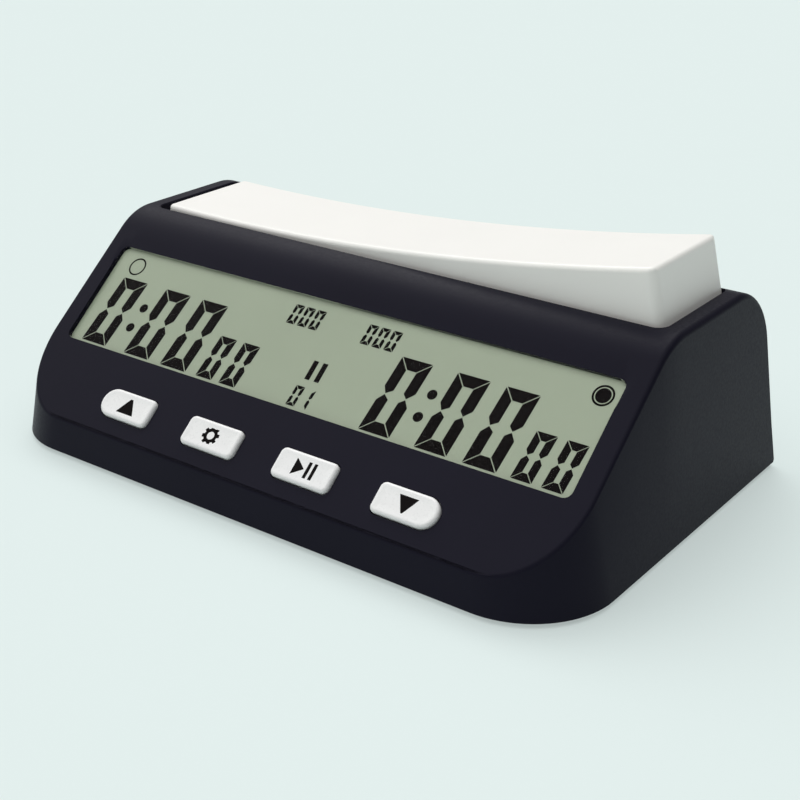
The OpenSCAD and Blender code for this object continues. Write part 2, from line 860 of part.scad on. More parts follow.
// flat cable from the switch board to the back of the main board
module ribbon_cable() {
  z = switch_z + fixed;
  n = pcb_n + pcb_t;
  y = band_in + (z + 0.4 - band_h + n * cos(slope)) / tan(slope) + n * sin(slope) + 0.1;
  place() color([0.6, 0.6, 0.65]) translate([-16.5, y, z]) cube([6.5, rocker_y - 4 - y, 0.4]);
}

upper_case();
base_cover();
battery_door();
rocker();
pivot_bushings();
rocker_pin();
rocker_bracket();
rocker_stops();
switch_board();
board_screws();
tact_switches();
switch_plunger_left();
switch_plunger_right();
main_pcb();
pcb_screws();
mcu_blob();
crystal();
capacitors();
lcd_lens();
lcd_panel();
lcd_frame();
zebra_strip();
button_up();
button_settings();
button_play_pause();
button_down();
pad_up();
pad_settings();
pad_play_pause();
pad_down();
button_mat();
piezo_buzzer();
battery_aa();
battery_spring();
battery_contact_positive();
case_screws();
bracket_screws();
rubber_feet();
power_switch_body();
power_switch_knob();
lead_red();
lead_black();
lead_buzzer();
ribbon_cable();
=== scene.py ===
import json
import math

import bpy
from mathutils import Matrix, Vector


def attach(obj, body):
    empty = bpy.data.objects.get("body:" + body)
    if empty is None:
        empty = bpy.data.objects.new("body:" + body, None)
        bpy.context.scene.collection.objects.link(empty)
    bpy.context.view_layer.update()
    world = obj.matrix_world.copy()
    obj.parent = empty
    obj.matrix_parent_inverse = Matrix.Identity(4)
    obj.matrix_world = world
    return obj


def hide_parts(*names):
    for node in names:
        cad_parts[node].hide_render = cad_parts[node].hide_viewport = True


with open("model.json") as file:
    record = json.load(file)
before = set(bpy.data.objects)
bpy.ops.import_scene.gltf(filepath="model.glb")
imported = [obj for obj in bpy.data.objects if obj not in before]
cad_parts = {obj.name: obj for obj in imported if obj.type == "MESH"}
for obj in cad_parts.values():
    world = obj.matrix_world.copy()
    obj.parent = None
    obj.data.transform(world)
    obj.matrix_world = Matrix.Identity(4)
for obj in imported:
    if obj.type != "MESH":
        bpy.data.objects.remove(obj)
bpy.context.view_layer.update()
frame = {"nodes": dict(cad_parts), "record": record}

# ---------------------------------------------------------------------------
# Sizes, in mm. The part frame has y = 0 at the front bottom edge of the case
# and z = 0 at its bottom rim.
# ---------------------------------------------------------------------------
CASE_W, CASE_D, CASE_H = 155.0, 93.5, 44.2
TOP_HALF = 73.6
BAND_IN, BAND_H = 1.185, 7.9
SLOPE = math.radians(40)
BACK_LEAN = 7.0
TOP_BLEND, BACK_BLEND = 14.0, 14.0
CORNER_R = 19.5
SEAM_CENTRE_Y = 17.6
WALL = 2.4
FOOT_H = 1.0

WINDOW_W, WINDOW_H, WINDOW_LOW, WINDOW_R = 137.6, 26.7, 19.4, 1.8
PANEL_N = -1.15
# width of the window bevel at the top and at the sides, its depth, and how far down it fades
BEVEL_TOP, BEVEL_SIDE, BEVEL_DEPTH, BEVEL_FADE = 2.7, 1.3, 0.32, 7.0
KEY_W, KEY_H, KEY_T, KEY_UP, KEY_GAP = 15.0, 6.9, 7.75, 0.9, 0.25
KEY_PITCH = CASE_W / 6
KEY_SHIFT = -0.6
OPEN_X, OPEN_Y0, OPEN_Y1, OPEN_R = 69.3, 48.445, 78.4, 2.6

PIVOT_Y, PIVOT_Z = 63.42, 40.5
TILT = math.radians(4.6)
ROCKER_L, END_RISE, SAG, SKIRT = 66.6, 9.6, 3.5, 6.0
ROCKER_HALF_D = 14.28
END_LEAN, FACE_LEAN = 0.16, 0.06

SIN, COS = math.sin(SLOPE), math.cos(SLOPE)


def on_slope(x, t, n):
    """Point of the part frame x across, t up the slope and n out of the sloped face."""
    return Vector((x, BAND_IN + t * COS - n * SIN, BAND_H + t * SIN + n * COS))


def key_x(i):
    """Middle of key i across the case."""
    return (i - 1.5) * KEY_PITCH + KEY_SHIFT


TO_ROW = Matrix.Scale(0.001, 4) @ Matrix.Translation((0, -CASE_D / 2, FOOT_H))
TO_PIVOT = Matrix.Translation((0, PIVOT_Y, PIVOT_Z)) @ Matrix.Rotation(-TILT, 4, "Y")


# ---------------------------------------------------------------------------
# Mesh helpers
# ---------------------------------------------------------------------------
def solid(name, verts, faces):
    """New object from points and faces."""
    mesh = bpy.data.meshes.new(name)
    mesh.from_pydata([tuple(v) for v in verts], [], faces)
    mesh.validate()
    obj = bpy.data.objects.new(name, mesh)
    bpy.context.scene.collection.objects.link(obj)
    return obj


def apply_modifiers(obj):
    """Replaces the mesh of obj by the result of its modifiers."""
    graph = bpy.context.evaluated_depsgraph_get()
    mesh = bpy.data.meshes.new_from_object(obj.evaluated_get(graph), depsgraph=graph)
    obj.modifiers.clear()
    obj.data = mesh


def subtract(obj, *cutters):
    """Cuts the cutters out of obj and removes them."""
    for cutter in cutters:
        cut = obj.modifiers.new("cut", "BOOLEAN")
        cut.operation = "DIFFERENCE"
        cut.solver = "EXACT"
        cut.object = cutter
    apply_modifiers(obj)
    for cutter in cutters:
        bpy.data.objects.remove(cutter)


def settle(obj, body, sharp=35, weighted=True):
    """Brings a finished piece from mm to the row frame, shades it smooth and makes it ride."""
    obj.data.transform(TO_ROW)
    obj.data.update()
    for polygon in obj.data.polygons:
        polygon.use_smooth = True
    obj.data.set_sharp_from_angle(angle=math.radians(sharp))
    if weighted:
        weight = obj.modifiers.new("weighted", "WEIGHTED_NORMAL")
        weight.keep_sharp = True
        weight.weight = 100
    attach(obj, body)
    return obj


def rounded_outline(w, h, radii, steps=8):
    """Points of a rounded rectangle, counter-clockwise from its right side's lower corner.

    radii holds the corner radii: lower right, upper right, upper left, lower left.
    """
    points = []
    for k, (sx, sy) in enumerate(((1, -1), (1, 1), (-1, 1), (-1, -1))):
        r = radii[k]
        cx, cy = sx * (w / 2 - r), sy * (h / 2 - r)
        for i in range(steps + 1):
            a = math.radians(-90 + 90 * k + 90 * i / steps)
            points.append((cx + r * math.cos(a), cy + r * math.sin(a)))
    return points


def loft(name, loops):
    """Closed solid through loops of equal length."""
    count = len(loops[0])
    verts = [p for loop in loops for p in loop]
    faces = []
    for k in range(len(loops) - 1):
        for i in range(count):
            j = (i + 1) % count
            a, b = k * count, (k + 1) * count
            faces.append((a + i, a + j, b + j, b + i))
    faces.append(tuple(reversed(range(count))))
    faces.append(tuple(range((len(loops) - 1) * count, len(loops) * count)))
    return solid(name, verts, faces)


# ---------------------------------------------------------------------------
# Case shell
# ---------------------------------------------------------------------------
def meet(p, a, q, b):
    """Where the line through p at angle a crosses the line through q at angle b."""
    dp = (math.cos(a), math.sin(a))
    dq = (math.cos(b), math.sin(b))
    cross = dp[0] * dq[1] - dp[1] * dq[0]
    s = ((q[0] - p[0]) * dq[1] - (q[1] - p[1]) * dq[0]) / cross
    return (p[0] + dp[0] * s, p[1] + dp[1] * s)


def shifted(p, angle, t):
    """p moved by t to the inner side of a line at that angle."""
    return (p[0] + math.sin(angle) * t, p[1] - math.cos(angle) * t)


def arc(centre, r, start, end, steps):
    """Points of an arc between two angles in degrees."""
    out = []
    for i in range(steps + 1):
        a = math.radians(start + (end - start) * i / steps)
        out.append((centre[0] + r * math.cos(a), centre[1] + r * math.sin(a)))
    return out


# places along the case, from front to back, where its skin gets a row of points
SLOPE_ROWS = (20, 23, 26, 29, 32, 35, 38)
TOP_ROWS = (52, 58, 64, 70)
CORNER_STEPS, BLEND_STEPS = 20, 14
# how far back the base runs ahead of the seam, and where the back's narrowing starts
LEAD_FADE, BACK_FROM = 30, 70


def case_rows(t):
    """Rows of the case skin moved in by t, each (y, z, half width, base y, base half width)."""
    band_a = math.atan2(BAND_H, BAND_IN)
    back_a = -math.atan2(CASE_H, BACK_LEAN)
    foot = meet(shifted((0, 0), band_a, t), band_a, (0, 0), 0)
    slope_p = shifted((BAND_IN, BAND_H), SLOPE, t)
    seam = meet(foot, band_a, slope_p, SLOPE)
    back_p = shifted((CASE_D, 0), back_a, t)
    back_foot = meet(back_p, back_a, (0, 0), 0)
    front_c = meet(shifted(slope_p, SLOPE, TOP_BLEND - t), SLOPE, (0, CASE_H - TOP_BLEND), 0)
    back_c = meet((0, CASE_H - BACK_BLEND), 0, shifted(back_p, back_a, BACK_BLEND - t), back_a)
    half = TOP_HALF - t
    base_half = CASE_W / 2 - t
    seam_r = SEAM_CENTRE_Y - seam[0]
    base_r = CORNER_R - foot[0]
    rows = []
    # round the front corners, at one angle on the seam and on the base
    for i in range(CORNER_STEPS + 1):
        a = math.radians(90 * i / CORNER_STEPS)
        y = SEAM_CENTRE_Y - seam_r * math.cos(a)
        z = seam[1] + (y - seam[0]) * math.tan(SLOPE)
        x = half - seam_r + seam_r * math.sin(a)
        by = CORNER_R - base_r * math.cos(a)
        bx = base_half - base_r + base_r * math.sin(a)
        rows.append((y, z, x, by, bx))
    # up the slope, over the top and down the back
    path = [(y, seam[1] + (y - seam[0]) * math.tan(SLOPE)) for y in SLOPE_ROWS]
    path += arc(front_c, TOP_BLEND - t, 130, 90, BLEND_STEPS)
    path += [(y, CASE_H - t) for y in TOP_ROWS]
    path += arc(back_c, BACK_BLEND - t, 90, 90 + math.degrees(back_a), BLEND_STEPS)
    last = path[-1]
    for k in (0.25, 0.5, 0.75, 1):
        path.append((last[0] + (back_foot[0] - last[0]) * k, last[1] * (1 - k)))
    lead = CORNER_R - SEAM_CENTRE_Y
    for y, z in path:
        ease = max(0.0, 1 - (y - SEAM_CENTRE_Y) / LEAD_FADE)
        x = half
        if y > BACK_FROM:
            x = base_half - (CASE_W / 2 - TOP_HALF) * (z + t) / CASE_H
        x = base_half if z < 1e-6 else x
        rows.append((y, z, x, y + lead * ease * ease, base_half))
    return rows


COLUMNS = 44
LEVELS = 5
# radius of the crease at the top, its share lower down, and the height where it starts to grow
CREASE_R, CRISP, SOFT_FROM = 1.3, 0.45, 30.0


def case_shell():
    """Outer and inner skin of the case joined along the rim."""
    verts, faces = [], []
    rims = []
    outer_seam = {}
    for t in (0.0, WALL):
        rows = case_rows(t)
        index = {}

        def vert(key, p):
            if key not in index:
                index[key] = len(verts)
                verts.append(p)
            return index[key]

        def skin(k, j):
            y, z, x, _, _ = rows[k]
            return vert(("s", k, j), (x * (2 * j / COLUMNS - 1), y, z))

        def wall(station, level):
            """Point of the upright wall; a station is (row, column) on the edge of the skin."""
            k, j = station
            if level == 0:
                return skin(k, j)
            y, z, x, by, bx = rows[k]
            u = 2 * j / COLUMNS - 1
            s = level / LEVELS
            if z < 1e-6:
                return skin(k, j)
            p = (u * (x + (bx - x) * s), y + (by - y) * s, z * (1 - s))
            return vert(("w", k, j, level), p)

        flip = t > 0
        last = len(rows) - 1

        def face(*ids):
            ids = [v for i, v in enumerate(ids) if v != ids[i - 1]]
            if len(ids) > 2:
                faces.append(tuple(reversed(ids)) if flip else tuple(ids))

        for k in range(last):
            for j in range(COLUMNS):
                face(skin(k, j), skin(k, j + 1), skin(k + 1, j + 1), skin(k + 1, j))
        edge = [(k, 0) for k in range(last, 0, -1)]
        edge += [(0, j) for j in range(COLUMNS + 1)]
        edge += [(k, COLUMNS) for k in range(1, last + 1)]
        for a, b in zip(edge, edge[1:]):
            for level in range(LEVELS):
                face(wall(a, level), wall(a, level + 1), wall(b, level + 1), wall(b, level))
            if not flip:
                z = (rows[a[0]][1] + rows[b[0]][1]) / 2
                rise = max(0.0, min(1.0, (z - SOFT_FROM) / (CASE_H - SOFT_FROM)))
                outer_seam[frozenset((wall(a, 0), wall(b, 0)))] = CRISP + (1 - CRISP) * rise
        rim = [wall(s, LEVELS) for s in edge]
        rim += [skin(last, j) for j in range(COLUMNS - 1, 0, -1)]
        rims.append(rim)
    outer, inner = rims
    for i in range(len(outer)):
        j = (i + 1) % len(outer)
        faces.append((outer[i], inner[i], inner[j], outer[j]))
    shell = solid("case_shell", verts, faces)
    weights = shell.data.attributes.new("bevel_weight_edge", "FLOAT", "EDGE")
    for edge in shell.data.edges:
        weights.data[edge.index].value = outer_seam.get(frozenset(edge.vertices), 0.0)
    bevel = shell.modifiers.new("bevel", "BEVEL")
    bevel.limit_method = "WEIGHT"
    bevel.width = CREASE_R
    bevel.segments = 5
    bevel.use_clamp_overlap = False
    return shell


SIDE_STEPS = 24


def window_cutter():
    """Window with a shallow bevel that opens out round its upper edge and fades down its sides."""
    middle = WINDOW_LOW + WINDOW_H / 2
    corners = rounded_outline(WINDOW_W, WINDOW_H, [WINDOW_R] * 4, 10)
    per_corner = len(corners) // 4
    outline = []
    for k in range(4):
        for i, (x, t) in enumerate(corners[k * per_corner:(k + 1) * per_corner]):
            a = math.radians(-90 + 90 * k + 90 * i / (per_corner - 1))
            outline.append((x, t, math.cos(a), math.sin(a)))
        if k in (0, 2):
            # extra points up the right side and down the left side
            side = 1 if k == 0 else -1
            for i in range(1, SIDE_STEPS):
                t = side * (WINDOW_H / 2 - WINDOW_R) * (2 * i / SIDE_STEPS - 1)
                outline.append((side * WINDOW_W / 2, t, side, 0.0))
    loops = [[], [], [], []]
    for x, t, nx, nt in outline:
        share = max(0.0, min(1.0, (t - WINDOW_H / 2 + BEVEL_FADE) / BEVEL_FADE))
        share *= share * (3 - 2 * share)
        dx = BEVEL_SIDE * share * nx
        dt = BEVEL_TOP * max(0.0, nt)
        loops[0].append(on_slope(x, middle + t, -6))
        loops[1].append(on_slope(x, middle + t, -BEVEL_DEPTH))
        loops[2].append(on_slope(x + dx, middle + t + dt, 0.01))
        loops[3].append(on_slope(x + dx, middle + t + dt, 2))
    return loft("window_cutter", loops)


def slope_cutter(name, outline, x, t):
    """Prism through the case wall, with its outline centred on x, t."""
    return loft(name, [[on_slope(x + a, t + b, n) for a, b in outline] for n in (-6, 6)])


def key_radii(i, grow=0.0):
    """Corner radii of a key or its hole: the outer ends of the row are round."""
    round_end, corner = KEY_H / 2 - 0.01, 1.4
    left = round_end if i == 0 else corner
    right = round_end if i == 3 else corner
    return [right + grow, right + grow, left + grow, left + grow]


def case_pieces():
    """Case shell with its window, key holes and rocker opening cut out."""
    shell = case_shell()
    apply_modifiers(shell)
    cutters = [window_cutter()]
    for i in range(4):
        outline = rounded_outline(KEY_W + 2 * KEY_GAP, KEY_H + 2 * KEY_GAP,
                                  key_radii(i, KEY_GAP), 10)
        cutters.append(slope_cutter("key_cutter", outline, key_x(i), KEY_T))
    # the rocker opening, its mouth broken by a very small edge
    loops = []
    for z, grow in ((CASE_H - 12, 0), (CASE_H - 0.2, 0), (CASE_H + 1.8, 2)):
        outline = rounded_outline(2 * (OPEN_X + grow), OPEN_Y1 - OPEN_Y0 + 2 * grow,
                                  [OPEN_R + grow] * 4, 10)
        loops.append([(x, (OPEN_Y0 + OPEN_Y1) / 2 + y, z) for x, y in outline])
    cutters.append(loft("rocker_cutter", loops))
    subtract(shell, *cutters)
    settle(shell, "case")
    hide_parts("upper_case")
    return shell


# ---------------------------------------------------------------------------
# Rocker
# ---------------------------------------------------------------------------
# largest edge radius, and the shares of it that the edges get
EDGE_R = 2.4
FRONT_TOP, BACK_TOP, END_EDGES = 0.45, 0.3, (0.8, 0.45, 0.8)
ROCKER_SKIN = 2.0


def rocker_shell():
    """White bar with a concave top and rounded edges, open underneath."""
    big_r = (ROCKER_L ** 2 + SAG ** 2) / (2 * SAG)
    verts, faces = [], []
    steps = 40
    layers = []
    for t in (0.0, ROCKER_SKIN):
        half_low = ROCKER_HALF_D - t
        layer = []
        for i in range(steps + 1):
            u = 2 * i / steps - 1
            top_x = (ROCKER_L - t) * u
            top_z = END_RISE - SAG + big_r - math.sqrt(big_r ** 2 - (ROCKER_L * u) ** 2) - t
            low_x = (ROCKER_L - t + END_LEAN * (END_RISE + SKIRT)) * u
            half_top = half_low - FACE_LEAN * (top_z + SKIRT)
            ring = [(low_x, -half_low, -SKIRT), (top_x, -half_top, top_z),
                    (top_x, half_low, top_z), (low_x, half_low, -SKIRT)]
            layer.append([len(verts) + k for k in range(4)])
            verts += ring
        layers.append(layer)
    soft = {}
    for n, layer in enumerate(layers):
        for i in range(steps):
            for k in range(3):
                quad = (layer[i][k], layer[i + 1][k], layer[i + 1][k + 1], layer[i][k + 1])
                faces.append(quad if n == 0 else tuple(reversed(quad)))
        first, last = layer[0], layer[steps]
        ends = (tuple(first), tuple(reversed(last)))
        for end in ends:
            faces.append(end if n == 0 else tuple(reversed(end)))
        if n == 0:
            for i in range(steps):
                soft[frozenset((layer[i][1], layer[i + 1][1]))] = FRONT_TOP
                soft[frozenset((layer[i][2], layer[i + 1][2]))] = BACK_TOP
            for end in (first, last):
                for k, weight in enumerate(END_EDGES):
                    soft[frozenset((end[k], end[k + 1]))] = weight
    outer, inner = layers
    for i in range(steps):
        faces.append((outer[i + 1][0], outer[i][0], inner[i][0], inner[i + 1][0]))
        faces.append((outer[i][3], outer[i + 1][3], inner[i + 1][3], inner[i][3]))
    faces.append((outer[0][0], outer[0][3], inner[0][3], inner[0][0]))
    faces.append((outer[steps][3], outer[steps][0], inner[steps][0], inner[steps][3]))
    bar = solid("rocker_bar", verts, faces)
    weights = bar.data.attributes.new("bevel_weight_edge", "FLOAT", "EDGE")
    for edge in bar.data.edges:
        weights.data[edge.index].value = soft.get(frozenset(edge.vertices), 0.0)
    bevel = bar.modifiers.new("bevel", "BEVEL")
    bevel.limit_method = "WEIGHT"
    bevel.width = EDGE_R
    bevel.segments = 6
    bevel.use_clamp_overlap = False
    apply_modifiers(bar)
    bar.data.transform(TO_PIVOT)
    settle(bar, "rocker", sharp=50)
    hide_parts("rocker")
    return bar


# ---------------------------------------------------------------------------
# Keys
# ---------------------------------------------------------------------------
KEY_NODES = ("button_up", "button_settings", "button_play_pause", "button_down")
KEY_BODIES = ("key_up", "key_settings", "key_play_pause", "key_down")
KEY_ROUND = 0.75
KEY_DISH = 0.12
KEY_FLANGE = 0.9
ICON_SUNK, ICON_PROUD = 0.06, 0.03


def key_cap(i):
    """Cap with a rounded upper edge and a slightly dished top, on a thin flange."""
    x0 = key_x(i)
    radii = key_radii(i)
    loops = []

    def ring(inset, n):
        outline = rounded_outline(KEY_W - 2 * inset, KEY_H - 2 * inset,
                                  [max(r - inset, 0.05) for r in radii], 10)
        loops.append([on_slope(x0 + x, KEY_T + t, n) for x, t in outline])

    ring(-KEY_FLANGE, -WALL - 1)
    ring(-KEY_FLANGE, -WALL - 0.1)
    ring(0, -WALL - 0.1)
    ring(0, KEY_UP - KEY_ROUND)
    for k in range(1, 7):
        a = math.radians(15 * k)
        ring(KEY_ROUND * (1 - math.cos(a)), KEY_UP - KEY_ROUND * (1 - math.sin(a)))
    ring(KEY_ROUND + 0.35, KEY_UP - KEY_DISH * 0.35)
    ring(KEY_ROUND + 0.9, KEY_UP - KEY_DISH * 0.8)
    ring(KEY_ROUND + 1.7, KEY_UP - KEY_DISH)
    cap = loft("cap_" + KEY_NODES[i], loops)
    settle(cap, KEY_BODIES[i])
    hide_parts(KEY_NODES[i])
    return cap


def prism(name, outlines, low, high):
    """Thin solids with the given outlines on the sloped face, in one piece."""
    verts, faces = [], []
    for outline in outlines:
        base = len(verts)
        count = len(outline)
        verts += [on_slope(x, t, low) for x, t in outline]
        verts += [on_slope(x, t, high) for x, t in outline]
        faces.append(tuple(base + i for i in reversed(range(count))))
        faces.append(tuple(base + count + i for i in range(count)))
        for i in range(count):
            j = (i + 1) % count
            faces.append((base + i, base + j, base + count + j, base + count + i))
    return solid(name, verts, faces)


def annulus(cx, cy, r_out, r_in, steps=40):
    """Ring as a run of quads, each an outline."""
    out = []
    for i in range(steps):
        a = 2 * math.pi * i / steps
        b = 2 * math.pi * (i + 1) / steps
        out.append([(cx + r_in * math.cos(a), cy + r_in * math.sin(a)),
                    (cx + r_out * math.cos(a), cy + r_out * math.sin(a)),
                    (cx + r_out * math.cos(b), cy + r_out * math.sin(b)),
                    (cx + r_in * math.cos(b), cy + r_in * math.sin(b))])
    return out


def disc(cx, cy, r, steps=32):
    """Outline of a round mark."""
    return [(cx + r * math.cos(2 * math.pi * i / steps), cy + r * math.sin(2 * math.pi * i / steps))
            for i in range(steps)]


def gear_icon(cx, cy):
    """Ring with eight teeth."""
    shapes = annulus(cx, cy, 1.72, 0.95)
    for k in range(8):
        a = math.radians(45 * k + 11)
        c, s = math.cos(a), math.sin(a)
        tooth = [(1.5, -0.46), (2.22, -0.38), (2.22, 0.38), (1.5, 0.46)]
        shapes.append([(cx + c * x - s * y, cy + s * x + c * y) for x, y in tooth])
    return shapes


def bar_icon(x0, y0, x1, y1):
    """Outline of an upright bar."""
    return [(x0, y0), (x1, y0), (x1, y1), (x0, y1)]


ICONS = (
    [[(-41.4, 5.6), (-36.0, 5.6), (-38.6, 10.2)]],
    gear_icon(-13.6, 7.85),
    [[(9.75, 5.8), (12.4, 7.75), (9.75, 9.7)],
     bar_icon(12.95, 5.85, 13.75, 9.75), bar_icon(14.4, 5.85, 15.2, 9.75)],
    [[(35.5, 10.2), (38.1, 5.6), (40.8, 10.2)]],
)


def key_icon(i):
    """Mark on top of a key, let a little into the cap."""
    top = KEY_UP - KEY_DISH
    icon = prism("icon_" + KEY_NODES[i], ICONS[i], top - ICON_SUNK, top + ICON_PROUD)
    return settle(icon, KEY_BODIES[i], weighted=False)


# ---------------------------------------------------------------------------
# Display
# ---------------------------------------------------------------------------
SEGMENT_LOW, SEGMENT_HIGH = PANEL_N + 0.005, PANEL_N + 0.03


def digit_segments(x, t, w, h, stroke, gap, lean, parts="abcdef"):
    """Seven-segment strokes as outlines. x, t is the lower left corner of the digit."""
    mid = h / 2
    g = gap
    s = stroke
    shapes = {
        "a": [(g, h), (w - g, h), (w - s - g, h - s), (s + g, h - s)],
        "d": [(g, 0), (s + g, s), (w - s - g, s), (w - g, 0)],
        "b": [(w, h - g), (w, mid + s * 0.62 + g * 0.6), (w - s * 0.55, mid + g * 0.75),
              (w - s, mid + s * 0.38 + g), (w - s, h - s - g)],
        "c": [(w, g), (w - s, s + g), (w - s, mid - s * 0.38 - g),
              (w - s * 0.55, mid - g * 0.75), (w, mid - s * 0.62 - g * 0.6)],
        "f": [(0, h - g), (s, h - s - g), (s, mid + s * 0.38 + g),
              (s * 0.45, mid + g * 0.75), (0, mid + s * 0.62 + g * 0.6)],
        "e": [(0, g), (0, mid - s * 0.62 - g * 0.6), (s * 0.45, mid - g * 0.75),
              (s, mid - s * 0.38 - g), (s, s + g)],
    }
    return [[(x + px + lean * py, t + py) for px, py in shapes[p]] for p in parts]


# width, height, stroke, gap between strokes and lean of each size of digit
BIG_DIGIT = (7.9, 18.1, 2.65, 0.15, 0.065)
SMALL_DIGIT = (4.75, 10.8, 1.75, 0.11, 0.065)
TOP_DIGIT = (2.4, 4.95, 0.82, 0.09, 0.05)
LOW_DIGIT = (2.35, 4.9, 0.78, 0.09, 0.05)
# the right-hand time repeats the left-hand one at this distance
TIME_PITCH = 82.9
PAUSE_BAR_W, PAUSE_LOW, PAUSE_HIGH = 1.3, 27.2, 31.9


def display_marks():
    """All dark marks on the display, as outlines on the sloped face."""
    marks = []
    for shift in (0.0, TIME_PITCH):
        for x in (-65.0, -50.9, -39.2):
            marks += digit_segments(x + shift, 20.3, *BIG_DIGIT)
        for x in (-28.1, -21.2):
            marks += digit_segments(x + shift, 20.4, *SMALL_DIGIT)
        for x, t in ((-52.8, 32.1), (-53.3, 26.6)):
            marks.append(disc(x + shift, t, 1.15))
    for x in (-13.2, -10.1, -7.0, 7.4, 10.55, 13.7):
        marks += digit_segments(x, 38.6, *TOP_DIGIT)
    for x in (-0.75, 1.82):
        marks.append(bar_icon(x, PAUSE_LOW, x + PAUSE_BAR_W, PAUSE_HIGH))
    marks += digit_segments(-1.85, 20.5, *LOW_DIGIT)
    marks += digit_segments(1.2, 20.5, *LOW_DIGIT, "bc")
    # open ring for the left player, filled ring for the right one
    marks += annulus(-62.0, 41.9, 2.4, 2.0)
    marks += annulus(64.9, 42.0, 2.35, 1.9)
    marks.append(disc(64.9, 42.0, 1.66))
    return marks


def display_pieces():
    """The marks as one thin piece just above the display glass."""
    marks = prism("lcd_marks", display_marks(), SEGMENT_LOW, SEGMENT_HIGH)
    return settle(marks, "case", weighted=False)


# ---------------------------------------------------------------------------
# Materials
# ---------------------------------------------------------------------------
def linear(r, g, b):
    """Display colour in 0..255 to linear."""
    out = []
    for v in (r, g, b):
        v /= 255
        out.append(v / 12.92 if v <= 0.04045 else ((v + 0.055) / 1.055) ** 2.4)
    return (*out, 1.0)


def plain(colour, factor):
    """Colour made lighter or darker by a factor."""
    return (colour[0] * factor, colour[1] * factor, colour[2] * factor, 1.0)


def finish_material(name, colour, rough, grain=0.0006, depth=0.00002, mottle=0.06,
                    spread=0.06, metallic=0.0, stretch=(1, 1, 1), **sockets):
    """Procedural finish: fine grain in bump and roughness, and a slow drift of colour."""
    material = bpy.data.materials.new(name)
    material.use_nodes = True
    nodes, links = material.node_tree.nodes, material.node_tree.links
    shader = nodes["Principled BSDF"]
    shader.inputs["Metallic"].default_value = metallic
    for key, value in sockets.items():
        shader.inputs[key.replace("_", " ")].default_value = value
    coords = nodes.new("ShaderNodeTexCoord")
    mapping = nodes.new("ShaderNodeMapping")
    mapping.inputs["Scale"].default_value = stretch
    links.new(coords.outputs["Object"], mapping.inputs["Vector"])
    fine = nodes.new("ShaderNodeTexNoise")
    fine.inputs["Scale"].default_value = 1 / grain
    fine.inputs["Detail"].default_value = 3
    slow = nodes.new("ShaderNodeTexNoise")
    slow.inputs["Scale"].default_value = 35
    slow.inputs["Detail"].default_value = 4
    for texture in (fine, slow):
        links.new(mapping.outputs["Vector"], texture.inputs["Vector"])
    ramp = nodes.new("ShaderNodeValToRGB")
    ramp.color_ramp.elements[0].position = 0.3
    ramp.color_ramp.elements[1].position = 0.7
    ramp.color_ramp.elements[0].color = plain(colour, 1 - mottle)
    ramp.color_ramp.elements[1].color = plain(colour, 1 + mottle)
    links.new(slow.outputs["Fac"], ramp.inputs["Fac"])
    links.new(ramp.outputs["Color"], shader.inputs["Base Color"])
    rough_range = nodes.new("ShaderNodeMapRange")
    rough_range.inputs["From Min"].default_value = 0.3
    rough_range.inputs["From Max"].default_value = 0.7
    rough_range.inputs["To Min"].default_value = rough - spread
    rough_range.inputs["To Max"].default_value = rough + spread
    links.new(fine.outputs["Fac"], rough_range.inputs["Value"])
    links.new(rough_range.outputs["Result"], shader.inputs["Roughness"])
    bump = nodes.new("ShaderNodeBump")
    bump.inputs["Strength"].default_value = 1.0
    bump.inputs["Distance"].default_value = depth
    links.new(fine.outputs["Fac"], bump.inputs["Height"])
    links.new(bump.outputs["Normal"], shader.inputs["Normal"])
    return material


def lens_material():
    """Clear plastic with a weak reflection that grows towards flat angles."""
    material = bpy.data.materials.new("lens_clear")
    material.use_nodes = True
    nodes, links = material.node_tree.nodes, material.node_tree.links
    nodes.remove(nodes["Principled BSDF"])
    fresnel = nodes.new("ShaderNodeFresnel")
    fresnel.inputs["IOR"].default_value = 1.06
    clear = nodes.new("ShaderNodeBsdfTransparent")
    gloss = nodes.new("ShaderNodeBsdfGlossy")
    gloss.inputs["Roughness"].default_value = 0.08
    mix = nodes.new("ShaderNodeMixShader")
    links.new(fresnel.outputs["Fac"], mix.inputs["Fac"])
    links.new(clear.outputs["BSDF"], mix.inputs[1])
    links.new(gloss.outputs["BSDF"], mix.inputs[2])
    links.new(mix.outputs["Shader"], nodes["Material Output"].inputs["Surface"])
    return material


